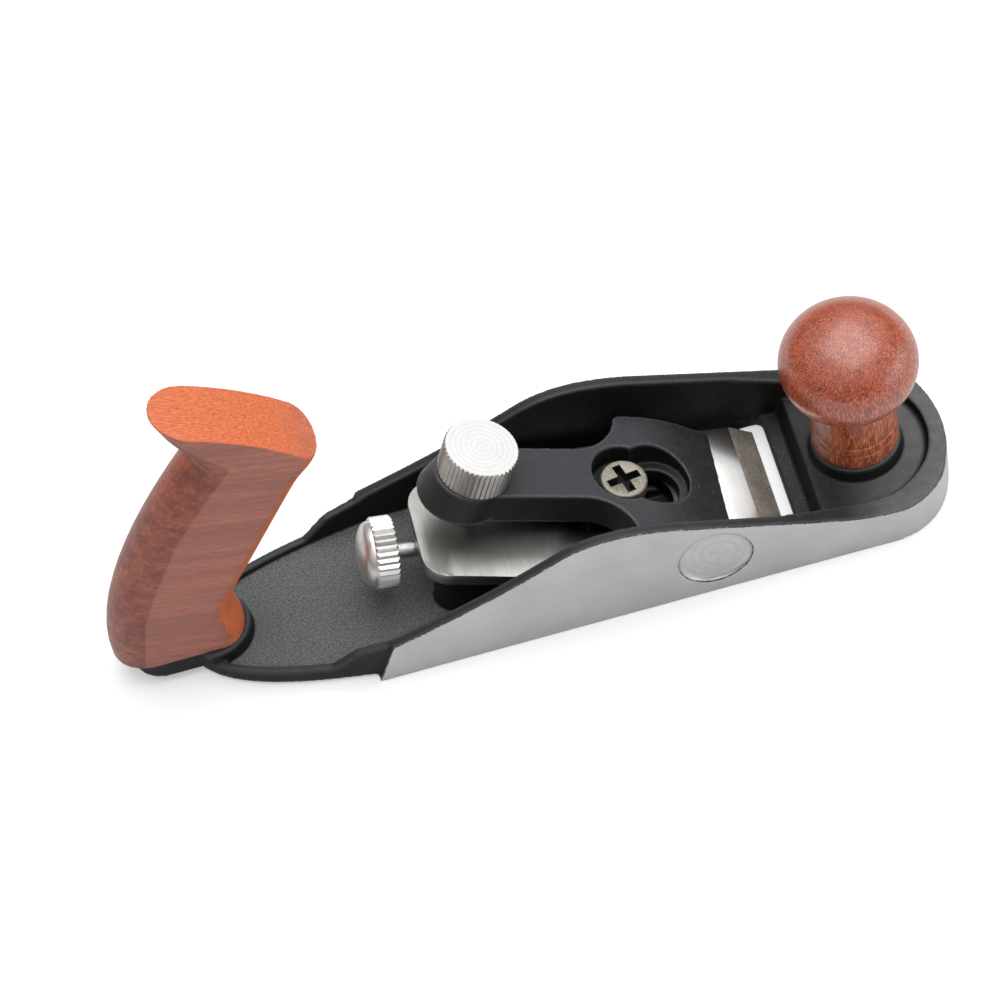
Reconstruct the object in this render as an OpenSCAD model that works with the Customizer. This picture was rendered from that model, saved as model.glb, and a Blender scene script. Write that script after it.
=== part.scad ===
// A small low-angle bench plane with a fixed mouth, a screw adjuster and turned wooden handles.
// The origin is on the sole, on the centre line, at the front edge of the mouth. +X points to the toe.

/* [Casting] */
// Width over the ground sides
body_w = 42; // [38:1:50]
// Mouth's front edge to the tip of the toe
toe_l = 35.1; // [32:0.1:42]
// Mouth's front edge to the back of the ground sides, at the sole
heel_l = 92.9; // [90:0.1:104]
// Thickness of the side walls
wall_t = 2.5; // [2:0.1:3.2]
// Thickness of the sole, and height of the floor inside
sole_t = 3; // [2.4:0.1:3.6]
// Highest point of the side walls
crest_h = 27.2; // [24:0.1:31]
// Mouth's front edge back to that highest point
crest_x = 41.2; // [36:0.1:46]
// Height of the side walls at the back of the ground sides
heel_h = 10.5; // [9:0.1:12]
// Height of the rim round the toe
toe_h = 9.6; // [9:0.1:12]
// Height of the platform inside the toe's rim
platform_h = 7.8; // [7:0.1:8.6]
// Radius of the toe's front curve
toe_front_r = 28; // [24:0.5:34]
// Radius of the toe's corners
toe_corner_r = 15; // [12:0.5:18]
// Radius of the dished platform behind the toe's rim
platform_r = 16.4; // [15:0.1:17]
// Radius of the finger recess in each side
recess_r = 7.8; // [6:0.1:8.4]
// Depth of the finger recess
recess_d = 1; // [0.6:0.1:1.4]
// Mouth's front edge back to the finger recess's centre
recess_x = 19.4; // [15:0.1:24]

/* [Tail] */
// Half the width where the tail starts
tail_half = 20; // [18:0.1:20.5]
// Height of the rim round the tail
tail_rim_h = 4.5; // [4:0.1:6]
// Width of the rim round the tail
tail_rim_w = 1.9; // [1.6:0.1:3]
// How far the tail's underside is raised above the sole
tail_lift = 0.4; // [0.3:0.1:1]
// Height of the tongue's underside above the sole
tongue_lift = 2.2; // [1.2:0.1:2.6]
// Height of the pad under the rear handle
pad_h = 7; // [6:0.1:8.5]
// Mouth's front edge back to the end of the tail's round tongue
tongue_x = 142.3; // [140:0.1:148]
// Half the width of the tongue
tongue_half = 7; // [6:0.1:8]

/* [Mouth and bed] */
// Angle of the bed to the sole, in degrees
bed_angle = 12; // [11:0.5:14]
// Length of the mouth opening in the sole
mouth_l = 6; // [5:0.1:8]
// Width of the mouth opening
mouth_w = 35.2; // [33:0.1:36]
// Cutting edge to the mouth's front edge
mouth_gap = 2.5; // [1.6:0.1:3.2]
// Cutting edge above the sole at rest
edge_lift = 0.2; // [0.1:0.05:0.4]
// Width of each bed rail
rail_w = 6.5; // [4:0.5:8]
// Length of the blade behind the back end of the bed rails
rail_back = 3.5; // [1:0.5:5]
// Radius of the rails' back corners
rail_corner_r = 5; // [3:0.5:6]
// Width of the channel between the bed rails
channel_w = 9; // [8.4:0.1:10]

/* [Blade] */
// Width of the blade
blade_w = 32; // [30:0.5:34]
// Thickness of the blade
blade_t = 3; // [2.6:0.1:3.4]
// Length of the blade
blade_l = 77.5; // [74:0.5:79]
// Length of the bevel along the top face
bevel_l = 5.8; // [4.5:0.1:7]
// Cutting edge to where the sides start to taper
taper_start = 55; // [50:0.5:60]
// Half the width at the end of the taper
taper_half = 12.7; // [11:0.1:14]
// Radius of the back corners
blade_corner_r = 6; // [4:0.5:8]
// Width of the slot for the cap screw
slot_w = 13.4; // [12:0.1:14]
// Cutting edge to the front end of the slot
slot_start = 22.2; // [20:0.1:26]
// Length of the blade behind the slot
slot_back = 31.5; // [30.5:0.1:34]

/* [Lever cap] */
// Cutting edge to the cap's front edge
cap_front = 11.5; // [10:0.1:14]
// Width of the cap's front
cap_w = 31.2; // [28:0.1:32]
// Width of the cap's arm
arm_w = 13.2; // [11.5:0.1:16]
// Radius of the hollow curve between front and arm
flare_r = 10; // [8:0.1:12]
// Cutting edge to the centre of the hollow curve
flare_s = 43.2; // [41:0.1:45]
// Radius of the front's shoulders
shoulder_r = 2; // [1:0.1:3]
// Thickness of the arm
arm_t = 8.4; // [7.6:0.1:9]
// Height of the arm's top above the blade, over the cap screw
arm_rise = 9.9; // [9:0.1:11]
// Slope of the arm's top to the blade, in degrees
arm_slope = 9; // [8:0.5:11]
// Slope of the front's top to the blade, in degrees
front_slope = 31; // [28:0.5:33]
// Thickness of the cap's front edge
front_t = 1.4; // [0.8:0.1:1.8]
// Cutting edge to the cap screw's axis
screw_s = 33.5; // [32:0.1:35]
// Turn of the cap on its screw as it sits, in degrees
cap_yaw = -3.3; // [-4:0.1:4]
// Radius of the keyhole's seat round the screw head
seat_r = 6.9; // [6.4:0.1:7.2]
// Radius of the keyhole's wide recess
key_r = 7.6; // [7:0.1:8]
// Distance between the keyhole's two centres
key_gap = 6.6; // [6:0.1:7.6]
// Wall of the cap round its hollow underside
cap_wall = 2.4; // [2:0.1:3]

/* [Cap screw and wheel] */
// Diameter of the cap screw's head
head_d = 10; // [9:0.1:10.6]
// Height of the cap screw's head
head_h = 3.2; // [2.6:0.1:3.6]
// Diameter of the cap screw
cap_screw_d = 5; // [4:0.1:5.4]
// Cutting edge to the wheel's axis
wheel_s = 65.5; // [63:0.1:67]
// Diameter of the wheel
wheel_d = 15.8; // [14:0.1:17]
// Height of the wheel
wheel_h = 7.6; // [6.6:0.1:9]
// Number of grooves round the wheel
wheel_grooves = 46; // [36:1:60]
// Diameter of the wheel's screw
wheel_screw_d = 5; // [4:0.1:6]

/* [Depth adjuster] */
// Diameter of the depth knob
depth_d = 15.6; // [13:0.1:16]
// Length of the knurled band
band_l = 4.8; // [4:0.1:6]
// Height of the depth knob's dome
dome_h = 3; // [2.4:0.1:4]
// Gap between the blade's back end and the depth knob
knob_gap = 4.3; // [3.4:0.1:5]
// Number of grooves round the depth knob
depth_grooves = 34; // [28:1:44]
// Diameter of the spindle
spindle_d = 3.6; // [3:0.1:4]
// Spindle's axis below the blade's underside
spindle_drop = 2.7; // [2.6:0.05:3.2]
// Blade's back end to the pivot's axis
pivot_back = 14.5; // [13:0.1:16]
// Diameter of the pivot
pivot_d = 9; // [8:0.1:10]
// Length of the pivot
pivot_l = 7.6; // [6.4:0.1:8]
// Blade's back end to the carrier's pin
pin_back = 26; // [25:0.1:26.5]
// Diameter of the carrier's pin
pin_d = 3.9; // [3:0.1:3.9]
// Outer diameter of the carrier's ring
carrier_d = 7; // [6.4:0.1:7.6]
// Length of the carrier's ring
carrier_l = 4; // [4:0.1:4.6]

/* [Front knob] */
// Mouth's front edge to the knob's axis
knob_x = 16.5; // [15:0.1:18]
// Widest diameter of the knob
knob_d = 28.7; // [25:0.1:32]
// Diameter of the knob's foot
foot_d = 18.4; // [16:0.1:19]
// Height of the knob's widest point above the sole
girth_h = 36.5; // [34:0.1:40]
// Height of the dome above the widest point
crown_h = 11.7; // [10:0.1:13]
// Height of the boss under the knob, above the sole
boss_h = 11.4; // [10.6:0.1:12.4]
// Diameter of the boss under the knob, at its top
boss_d = 18.9; // [18.6:0.1:21]
// How much wider the boss is at the platform
boss_spread = 0.7; // [0.4:0.1:2]

/* [Rear handle] */
// Thickness of the rear handle
tote_t = 14.6; // [13:0.1:17]
// Mouth's front edge back to the handle's rearmost point
tote_back = 145.6; // [143:0.1:148]
// Mouth's front edge back to the foot's front
tote_front = 116.9; // [114:0.1:119]
// Mouth's front edge back to the front end of the top
tip_x = 91.2; // [89:0.1:94]
// Height of the front end of the top
tip_h = 58.5; // [54:0.1:62]
// Mouth's front edge back to the horn
horn_x = 121.2; // [118:0.1:124]
// Height of the horn
horn_h = 79; // [74:0.1:83]
// Depth of the rounding on the back edge
back_round = 8; // [6:0.1:9]
// Depth of the rounding on the front edge
front_round = 5; // [4:0.1:6.5]
// Rise of the top face's crown over its chord
top_crown = 2.4; // [1.4:0.1:2.8]

/* [Fasteners] */
// Diameter of the screws under the handles
handle_screw_d = 4; // [3.5:0.1:4.4]
// Diameter of those screws' heads
flat_head_d = 8; // [7:0.1:8.4]
// Diameter of the brass inserts
insert_d = 7; // [6.4:0.1:8]
// Length of the brass inserts
insert_l = 10; // [8:0.5:12]
// Mouth's front edge back to the front handle screw
tote_screw_a = 124; // [123:0.1:125.5]
// Mouth's front edge back to the rear handle screw
tote_screw_b = 136.5; // [135:0.1:138]

/* [Hidden] */
$fn = 64;

// Radial clearance of turning fits, and of seated round pieces
run_fit = 0.05;
seat_fit = 0.03;
// Length by which cutters pass the faces that they cut
over = 1;
// Height of tall cutters
tall = 90;

// Half the width between the side walls
inner_half = body_w / 2 - wall_t;
// Slope of the back edge of the ground sides: how far it leans forward at its top
heel_lean = 4.7;
// Lean of the platform's back face, and the mouth to its foot
platform_lean = 1.6;
platform_x = 3.4;
// Growth of the knob boss's diameter per unit of height
boss_slope = boss_spread / (boss_h - platform_h);
// Centre of the dished platform
dish_x = toe_l - 3.6 - platform_r;

// Height of a point on the blade's top over the cap screw, counted from the bed
arm_top = blade_t + arm_rise;
// Ledge that the screw head presses on, counted from the bed
ledge_w = arm_top - 1.7 - head_h;
// Height of the boss's top under the wheel, counted from the bed
wheel_seat = arm_top + (wheel_s - screw_s) * tan(arm_slope);
// Places along the bed that are counted from the blade's back end
rail_end = blade_l - rail_back;
slot_end = blade_l - slot_back;
pivot_s = blade_l - pivot_back;
pin_s = blade_l - pin_back;
// Front face of the depth knob, along the bed
knob_face = blade_l + knob_gap;

function bez(p, t) = pow(1 - t, 3) * p[0] + 3 * pow(1 - t, 2) * t * p[1]
    + 3 * (1 - t) * t * t * p[2] + t * t * t * p[3];
function curve(p, n) = [for (i = [0:n]) bez(p, i / n)];
function mirrored(points) = concat(points, [for (i = [len(points) - 1:-1:0]) [points[i][0], -points[i][1]]]);

// Place on the bed: -X runs back up the bed from the cutting edge, Z stands square to it
module on_bed() translate([-mouth_gap, 0, edge_lift]) rotate([0, bed_angle, 0]) children();
// Place on the spindle: Z runs back along its axis
module on_spindle() on_bed() translate([0, 0, -spindle_drop]) rotate([0, -90, 0]) children();
// Place on the lever cap: X runs forward from the cap screw's axis
module on_cap() on_bed() translate([-screw_s, 0, 0]) rotate([0, 0, cap_yaw]) children();
// Place under the wheel, in the cap's own frame and in the world: Z is its axis, square to the arm's top
module at_wheel() translate([cap_end, 0, wheel_seat]) rotate([0, arm_slope, 0]) children();
module on_wheel() on_cap() at_wheel() children();

// A solid of the given outline in X and Z, centred across the width
module across(w) rotate([90, 0, 0]) linear_extrude(w, center = true) children();

// The body's outline from above: parallel sides and a toe of three tangent arcs
module toe_outline() {
    front_x = toe_l - toe_front_r;
    corner_y = body_w / 2 - toe_corner_r;
    corner_x = front_x + sqrt(pow(toe_front_r - toe_corner_r, 2) - corner_y * corner_y);
    swing = asin(corner_y / (toe_front_r - toe_corner_r));
    far = 2 * toe_front_r;
    translate([-heel_l - over, -body_w / 2]) square([corner_x + heel_l + over, body_w]);
    for (side = [-1, 1])
        translate([corner_x, side * corner_y]) circle(toe_corner_r);
    intersection() {
        translate([front_x, 0]) circle(toe_front_r, $fn = 96);
        polygon([[front_x, 0], [front_x + far * cos(swing), -far * sin(swing)],
            [front_x + far * cos(swing), far * sin(swing)]]);
    }
}

// Top line of the side walls, from the heel to the toe
heel_top = [-heel_l + heel_lean, heel_h];
crest_back = [-crest_x - 10.8, crest_h - 2.7];
crest_front = [-crest_x + 14.2, crest_h - 2.4];
throat_top = [4, toe_h + 4];
rim_back = [22, toe_h + 0.5];
wall_line = concat(
    curve([heel_top, heel_top + [15, 4.7], crest_back - [10, 5], crest_back], 8),
    curve([crest_back, crest_back + [6.5, 3.3], crest_front + [-11, 3.5], crest_front], 10),
    curve([throat_top, throat_top + [7, -2.55], rim_back + [-7, 0.3], rim_back], 6));

module wall_profile() polygon(concat([[-heel_l, 0]], wall_line, [[toe_l + over, toe_h], [toe_l + over, 0]]));

// The tail's outline from above, at a given distance inside its edge
module tail_outline(inset) {
    half = tail_half - inset;
    start = [-heel_l + 8, half + 0.5];
    end = [-tongue_x + 14 + inset, 6];
    side = curve([start, start + [-22, -2.9], end + [6, 8 - inset], end], 14);
    polygon(mirrored(side));
}

module tongue_outline() {
    translate([-tongue_x + tongue_half, 0]) circle(tongue_half);
    translate([-tongue_x + tongue_half, -tongue_half]) square([12, 2 * tongue_half]);
}

// The pad's outline: the handle's foot with a step round it
pad_margin = 1.1;
module pad_outline() {
    half = tote_t / 2 + pad_margin;
    front = -tote_front + pad_margin;
    translate([front - half, 0]) circle(half);
    translate([-tote_screw_b, -half]) square([front - half + tote_screw_b, 2 * half]);
}

tail_profile = [[-tongue_x - over, tail_lift], [-tongue_x - over, tail_rim_h],
    [-heel_l - 8.4, tail_rim_h], [-heel_l - 5.6, tail_rim_h + 2.2], [-heel_l - 2.9, tail_rim_h + 4.2],
    heel_top + [0, -0.2],
    heel_top + [4, 1.3], heel_top + [4, tail_lift - heel_h]];

module tail() {
    intersection() {
        linear_extrude(tall) tail_outline(0);
        across(body_w) polygon(tail_profile);
    }
    translate([0, 0, tongue_lift]) linear_extrude(pad_h - tongue_lift) tongue_outline();
    intersection() {
        translate([0, 0, tongue_lift]) linear_extrude(pad_h - tongue_lift) pad_outline();
        linear_extrude(tall) union() {
            tail_outline(0);
            tongue_outline();
        }
    }
}

module tail_pocket() difference() {
    translate([0, 0, sole_t]) linear_extrude(tall) tail_outline(tail_rim_w);
    linear_extrude(tall) pad_outline();
}

// The open trough between the side walls, with the platform's leaning back face
module trough() intersection() {
    across(body_w) polygon([[-heel_l - over, sole_t], [platform_x, sole_t],
        [platform_x + platform_lean, platform_h + 0.1], [platform_x + platform_lean, tall],
        [-heel_l - over, tall]]);
    linear_extrude(tall) polygon(mirrored([[-heel_l - over, tail_half - tail_rim_w - 0.9],
        [-heel_l + heel_lean + 4, inner_half], [-mouth_l, inner_half],
        [platform_x + platform_lean, inner_half - 1.2]]));
}

module platform_cut() translate([0, 0, platform_h]) linear_extrude(tall) {
    translate([dish_x, 0]) circle(platform_r);
    polygon(mirrored([[platform_x, inner_half - 1.1], [dish_x, platform_r]]));
}

// What lies under the bed plane between two distances from the cutting edge
module under_bed(s_from, s_to, half) intersection() {
    on_bed() translate([-s_to, -half, -tall]) cube([s_to - s_from, 2 * half, tall]);
    translate([-heel_l, -half, sole_t / 2]) cube([heel_l, 2 * half, tall]);
}

// A post that stands square to the bed, from the sole up to a height above the bed plane
module bed_post(s, r, top) intersection() {
    on_bed() translate([-s, 0, -tall]) cylinder(r = r, h = tall + top);
    translate([-heel_l, -body_w / 2, sole_t / 2]) cube([heel_l, body_w, tall]);
}

// Both bed rails from above, with the channel between them still closed
module rails_outline() {
    half = channel_w / 2 + rail_w;
    r = rail_corner_r;
    translate([-rail_end + r, -half]) square([rail_end - r - bed_front + 1, 2 * half]);
    translate([-rail_end, -half + r]) square([r + 1, 2 * (half - r)]);
    for (side = [-1, 1])
        translate([-rail_end + r, side * (half - r)]) circle(r);
}

// Length of the bed behind the mouth, before the channel starts
bed_front = 21;
// Radius of the post round the cap screw, and its top in the blade's slot, above the bed
post_r = 5.2;
post_top = blade_t - 0.8;
// The blade's bed: a solid front, two rails behind it, and the posts of the pivot and the cap screw
module bed() {
    under_bed(0, bed_front, inner_half + 0.5);
    difference() {
        intersection() {
            on_bed() translate([0, 0, -tall]) linear_extrude(tall) rails_outline();
            translate([-heel_l, -body_w / 2, sole_t / 2]) cube([heel_l, body_w, tall]);
        }
        on_bed() translate([-rail_end - over, -channel_w / 2, -tall])
            cube([rail_end - bed_front + 0.5 + over, channel_w, tall + over]);
    }
    bed_post(pivot_s, pivot_d / 2 + 2.2, 0);
    bed_post(screw_s, post_r, post_top);
}

module mouth_cut() {
    r = 1.6;
    translate([-mouth_l, -mouth_w / 2, -over]) linear_extrude(sole_t + over + tall / 10) {
        translate([r, 0]) square([mouth_l - 2 * r, mouth_w]);
        translate([0, r]) square([mouth_l, mouth_w - 2 * r]);
        for (x = [r, mouth_l - r], y = [r, mouth_w - r])
            translate([x, y]) circle(r);
    }
}

// A hole for a flat-headed screw, from below, with its cone sunk into the underside
module flat_screw_hole(x, z_from, z_to) translate([x, 0, z_from]) {
    translate([0, 0, -over]) cylinder(r = handle_screw_d / 2 + seat_fit, h = z_to - z_from + 2 * over);
    translate([0, 0, flat_sink]) cylinder(r1 = flat_head_d / 2 + seat_fit,
        r2 = handle_screw_d / 2 + seat_fit, h = flat_head_h);
    translate([0, 0, -over]) cylinder(r = flat_head_d / 2 + seat_fit, h = over + flat_sink);
}

// Depth of a flat head under its surface, and height of its cone
flat_sink = 0.4;
flat_head_h = 2.2;

module finger_recess() {
    cylinder(r = recess_r, h = 2 * recess_d, center = true);
    translate([0, 0, -recess_d - 0.3]) cylinder(r1 = 0.3, r2 = 1.1, h = 0.4);
}

module body_casting() color([0.09, 0.09, 0.1]) difference() {
    union() {
        difference() {
            union() {
                intersection() {
                    linear_extrude(tall) toe_outline();
                    across(body_w + over) wall_profile();
                }
                tail();
            }
            trough();
            tail_pocket();
            platform_cut();
        }
        bed();
        translate([knob_x, 0, sole_t]) cylinder(d1 = boss_d + boss_slope * (boss_h - sole_t), d2 = boss_d,
            h = boss_h - sole_t);
    }
    mouth_cut();
    on_bed() {
        translate([-bed_front, -mouth_w / 2 - 0.4, 0]) cube([bed_front, mouth_w + 0.8, tall / 10]);
        translate([-screw_s, 0, -cap_screw_depth])
            cylinder(d = cap_screw_d + 2 * seat_fit, h = cap_screw_depth + tall);
        translate([-pivot_s, 0, -pivot_l - pivot_sink - 0.1])
            cylinder(d = pivot_d + 2 * run_fit, h = pivot_l + pivot_sink + over);
        translate([-rail_end - over, -spindle_slot / 2, -spindle_drop - spindle_slot / 2])
            cube([rail_end - pin_s + over, spindle_slot, tall / 10]);
    }
    flat_screw_hole(knob_x, 0, boss_h);
    flat_screw_hole(-tote_screw_a, tongue_lift, pad_h);
    flat_screw_hole(-tote_screw_b, tongue_lift, pad_h);
    for (side = [-1, 1])
        translate([-recess_x, side * body_w / 2, heel_h + 0.8]) rotate([-side * 90, 0, 0]) finger_recess();
}

// Depth of the cap screw's hole, and of the pivot's top, below the bed
cap_screw_depth = 4.6;
pivot_sink = 0.4;
// Width of the slot that the spindle lies in
spindle_slot = spindle_d + 2;

module blade_outline() {
    taper_end = blade_l - blade_corner_r;
    tip_half = taper_half - blade_corner_r;
    difference() {
        union() {
            polygon(mirrored([[0, blade_w / 2], [-taper_start, blade_w / 2],
                [-taper_end, taper_half], [-taper_end - 0.5, tip_half]]));
            for (side = [-1, 1])
                translate([-taper_end, side * tip_half]) circle(blade_corner_r);
            translate([-blade_l, -tip_half]) square([blade_corner_r + 1, 2 * tip_half]);
        }
        for (s = [slot_start + slot_w / 2, slot_end - slot_w / 2])
            translate([-s, 0]) circle(d = slot_w);
        translate([-slot_end + slot_w / 2, -slot_w / 2])
            square([slot_end - slot_start - slot_w, slot_w]);
    }
}

// Depth of the hole in the blade's underside for the carrier's pin
pin_hole = 2.2;

module blade() color([0.76, 0.76, 0.75]) on_bed() difference() {
    linear_extrude(blade_t) blade_outline();
    translate([-pin_s, 0, -over]) cylinder(d = pin_d + 2 * run_fit, h = pin_hole + over);
    rotate([90, 0, 0]) linear_extrude(blade_w + over, center = true)
        polygon([[over, -over], [0.02, 0], [-bevel_l, blade_t], [-bevel_l, blade_t + over], [over, blade_t + over]]);
}

// The hollow on each side of the keyhole: its width, its length and the screw's axis to its back end
hollow_w = cap_w / 2 - key_r - 1.6 - cap_wall;
hollow_l = 11;
hollow_x = screw_s - flare_s + flare_r + cap_wall;
// The cap's side view: X forward from the screw, Y up from the bed
function arm_line(x) = arm_top - x * tan(arm_slope);
cap_nose = screw_s - cap_front;
nose_top = [cap_nose - 0.9, blade_t + front_t];
// Where the front's slope meets the arm's, and the blend between them
bend_x = (nose_top[1] + nose_top[0] * tan(front_slope) - arm_top) / (tan(front_slope) - tan(arm_slope));
bend_span = 6;
cap_end = screw_s - wheel_s;
function front_line(x) = nose_top[1] + (nose_top[0] - x) * tan(front_slope);
skirt_gap = 0.3;
skirt_x = (arm_top - arm_t - blade_t - skirt_gap) / tan(arm_slope);

module cap_profile(drop) polygon(concat(
    [[cap_nose - drop, blade_t - drop / 10], nose_top + [-drop, -drop]],
    curve([[bend_x + bend_span, front_line(bend_x + bend_span) - drop],
        [bend_x + bend_span / 3, front_line(bend_x + bend_span / 3) - drop],
        [bend_x - bend_span / 3, arm_line(bend_x - bend_span / 3) - drop],
        [bend_x - bend_span, arm_line(bend_x - bend_span) - drop]], 8),
    [[cap_end, arm_line(cap_end) - drop], [cap_end, arm_line(cap_end) - arm_t - drop / 10],
        [skirt_x, blade_t + skirt_gap - drop / 10], [cap_nose - 2, blade_t + skirt_gap - drop / 10],
        [cap_nose - 2, blade_t - drop / 10]]));

// The cap's outline from above: the front with its rounded shoulders, and the arm between two hollow curves
shoulder_x = screw_s - flare_s + sqrt(pow(flare_r + shoulder_r - 0.2, 2)
    - pow(arm_w / 2 + flare_r - cap_w / 2 + shoulder_r, 2));
module cap_outline() difference() {
    union() {
        translate([shoulder_x, -cap_w / 2]) square([cap_nose - shoulder_x, cap_w]);
        translate([screw_s - flare_s, -cap_w / 2 + shoulder_r])
            square([cap_nose - screw_s + flare_s, cap_w - 2 * shoulder_r]);
        for (side = [-1, 1])
            translate([shoulder_x, side * (cap_w / 2 - shoulder_r)]) circle(shoulder_r);
        translate([cap_end, -arm_w / 2]) square([flare_s - screw_s - cap_end, arm_w]);
    }
    for (side = [-1, 1])
        translate([screw_s - flare_s, side * (arm_w / 2 + flare_r)]) circle(flare_r);
    for (side = [-1, 1])
        translate([screw_s - flare_s - flare_r, side * arm_w / 2 - (side < 0 ? flare_r : 0)])
            square([flare_r, flare_r]);
}

// The hollows in the underside: one along the arm, and one on each side of the keyhole
module cap_hollows() intersection() {
    across(cap_w) cap_profile(cap_wall);
    union() {
        translate([cap_end + boss_low_r, -arm_w / 2 + cap_wall, 0])
            cube([-cap_end - boss_low_r - seat_r - 2, arm_w - 2 * cap_wall, tall]);
        for (side = [-1, 1])
            translate([hollow_x, side * (cap_w / 2 - cap_wall - hollow_w / 2) - hollow_w / 2, 0])
                cube([hollow_l, hollow_w, tall]);
    }
}

// The boss under the wheel is a cone that widens downwards and leans back, between the arm's two planes
boss_top_r = wheel_d / 2 - 0.4;
boss_low_r = 9;
boss_depth = 6.8;
boss_rise = 0.1;
boss_lean = 17;
boss_shift = 0.5;
module cap_boss() intersection() {
    widening = (boss_low_r - boss_top_r) / boss_depth;
    translate([cap_end - boss_shift, 0, wheel_seat]) rotate([0, boss_lean, 0])
        translate([0, 0, -boss_depth - 4]) cylinder(r1 = boss_low_r + 4 * widening,
            r2 = boss_top_r - 4 * widening, h = boss_depth + 8);
    at_wheel() translate([-tall / 2, -tall / 2, -boss_depth]) cube([tall, tall, boss_depth + boss_rise]);
}

// Clearance round the screw in the keyhole, and the keyhole's offset to the far side
key_clear = 0.5;
key_side = 0.25;
module lever_cap() color([0.1, 0.1, 0.11]) on_cap() difference() {
    union() {
        difference() {
            intersection() {
                linear_extrude(tall) cap_outline();
                across(cap_w + over) cap_profile(0);
            }
            cap_hollows();
        }
        cap_boss();
    }
    translate([0, key_side, ledge_w]) cylinder(r = seat_r, h = tall);
    translate([key_gap, key_side, ledge_w - 2]) cylinder(r = key_r, h = tall);
    linear_extrude(tall) {
        translate([key_gap, 0]) circle(head_d / 2 + key_clear);
        circle(cap_screw_d / 2 + key_clear);
        translate([0, -cap_screw_d / 2 - key_clear]) square([key_gap, cap_screw_d + 2 * key_clear]);
    }
    at_wheel() translate([0, 0, -tall / 2]) cylinder(d = wheel_screw_d + 2 * run_fit, h = tall);
}

// A round outline with straight grooves across its edge
module knurled(d, grooves, depth) polygon([for (i = [0:2 * grooves - 1])
    let (r = d / 2 - (i % 2) * depth, a = 180 * i / grooves) [r * cos(a), r * sin(a)]]);

// A knob's round envelope, wider than the grooved outline but for the bevel at each end
module bevelled(d, h, bevel) rotate_extrude() polygon([[0, 0], [d / 2 - bevel, 0],
    [d / 2 + over, bevel + over], [d / 2 + over, h - bevel - over], [d / 2 - bevel, h], [0, h]]);

// Depth of the knurling's grooves
groove_d = 0.4;
// Gap under the wheel, and the bevel on its edges
wheel_gap = 0.3;
wheel_bevel = 0.35;
module cap_wheel() color([0.82, 0.82, 0.81]) on_wheel() translate([0, 0, wheel_gap])
    difference() {
        intersection() {
            linear_extrude(wheel_h) knurled(wheel_d, wheel_grooves, groove_d);
            bevelled(wheel_d, wheel_h, wheel_bevel);
        }
        translate([0, 0, -over]) cylinder(d = wheel_screw_d + 2 * seat_fit, h = wheel_h - 2 + over);
    }

// The wheel's screw ends in a half ball that rests on the blade
module cap_wheel_screw() color([0.7, 0.7, 0.7]) on_wheel() {
    r = wheel_screw_d / 2;
    ball = (wheel_seat - blade_t - r) / cos(arm_slope);
    translate([0, 0, -ball]) rotate_extrude() {
        square([r, ball + wheel_gap + wheel_h - 2.05]);
        intersection() {
            circle(r);
            translate([0, -r]) square([r, 2 * r]);
        }
    }
}

// A cross-shaped driver recess, cut downwards from the plane Z = 0
module cross_cut(size, depth) for (turn = [0, 90])
    rotate([0, 0, turn]) translate([-size / 2, -size / 8, -depth]) cube([size, size / 4, depth + over]);

module cap_screw() color([0.62, 0.62, 0.62]) on_bed() translate([-screw_s, 0, 0]) difference() {
    edge_r = 0.6;
    union() {
        translate([0, 0, -cap_screw_depth + 0.2])
            cylinder(d = cap_screw_d, h = ledge_w + cap_screw_depth);
        translate([0, 0, ledge_w]) rotate_extrude() {
            square([head_d / 2, head_h - edge_r]);
            square([head_d / 2 - edge_r, head_h]);
            translate([head_d / 2 - edge_r, head_h - edge_r]) circle(edge_r);
        }
    }
    translate([0, 0, ledge_w + head_h]) rotate([0, 0, 15]) cross_cut(head_d * 0.72, 2.4);
}

module depth_knob() color([0.84, 0.84, 0.82]) on_spindle() translate([0, 0, knob_face]) difference() {
    bevel = 0.5;
    dome_r = depth_d / 2 - groove_d - 0.3;
    dome_from = band_l - 0.4;
    fullness = 0.72;
    union() {
        intersection() {
            linear_extrude(band_l) knurled(depth_d, depth_grooves, groove_d + 0.1);
            bevelled(depth_d, band_l, bevel);
        }
        translate([0, 0, dome_from]) rotate_extrude() polygon(concat([[0, 0]],
            [for (a = [0:9:90]) [dome_r * cos(a), (band_l + dome_h - dome_from) * pow(sin(a), fullness)]]));
    }
    translate([0, 0, -over]) cylinder(d = spindle_d + 2 * seat_fit, h = band_l - 0.6 + over);
}

// Distances along the bed of the spindle's front end and of its collar
collar_l = 1;
collar_s = pin_s + carrier_l / 2 + run_fit;
spindle_start = pin_s - carrier_l / 2 - 2;
clip_t = 0.7;
module adjuster_spindle() color([0.78, 0.78, 0.76]) on_spindle() difference() {
    union() {
        translate([0, 0, spindle_start])
            cylinder(d = spindle_d, h = knob_face + band_l - 0.65 - spindle_start);
        translate([0, 0, collar_s]) cylinder(d = spindle_d + 1.6, h = collar_l);
    }
    translate([0, 0, clip_s]) rotate_extrude()
        translate([spindle_d / 2 - clip_groove, 0]) square([over, clip_t + 2 * seat_fit]);
}

// The clip's groove in the spindle: its depth and its distance along the bed
clip_groove = 0.45;
clip_s = pin_s - carrier_l / 2 - clip_t - 0.15;
module carrier_clip() color([0.35, 0.35, 0.36]) on_spindle() translate([0, 0, clip_s + seat_fit])
    linear_extrude(clip_t) difference() {
        circle(spindle_d / 2 + 0.7);
        circle(spindle_d / 2 - clip_groove + seat_fit);
        translate([-spindle_d, -spindle_d * 0.3]) square([spindle_d, spindle_d * 0.6]);
    }

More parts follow.
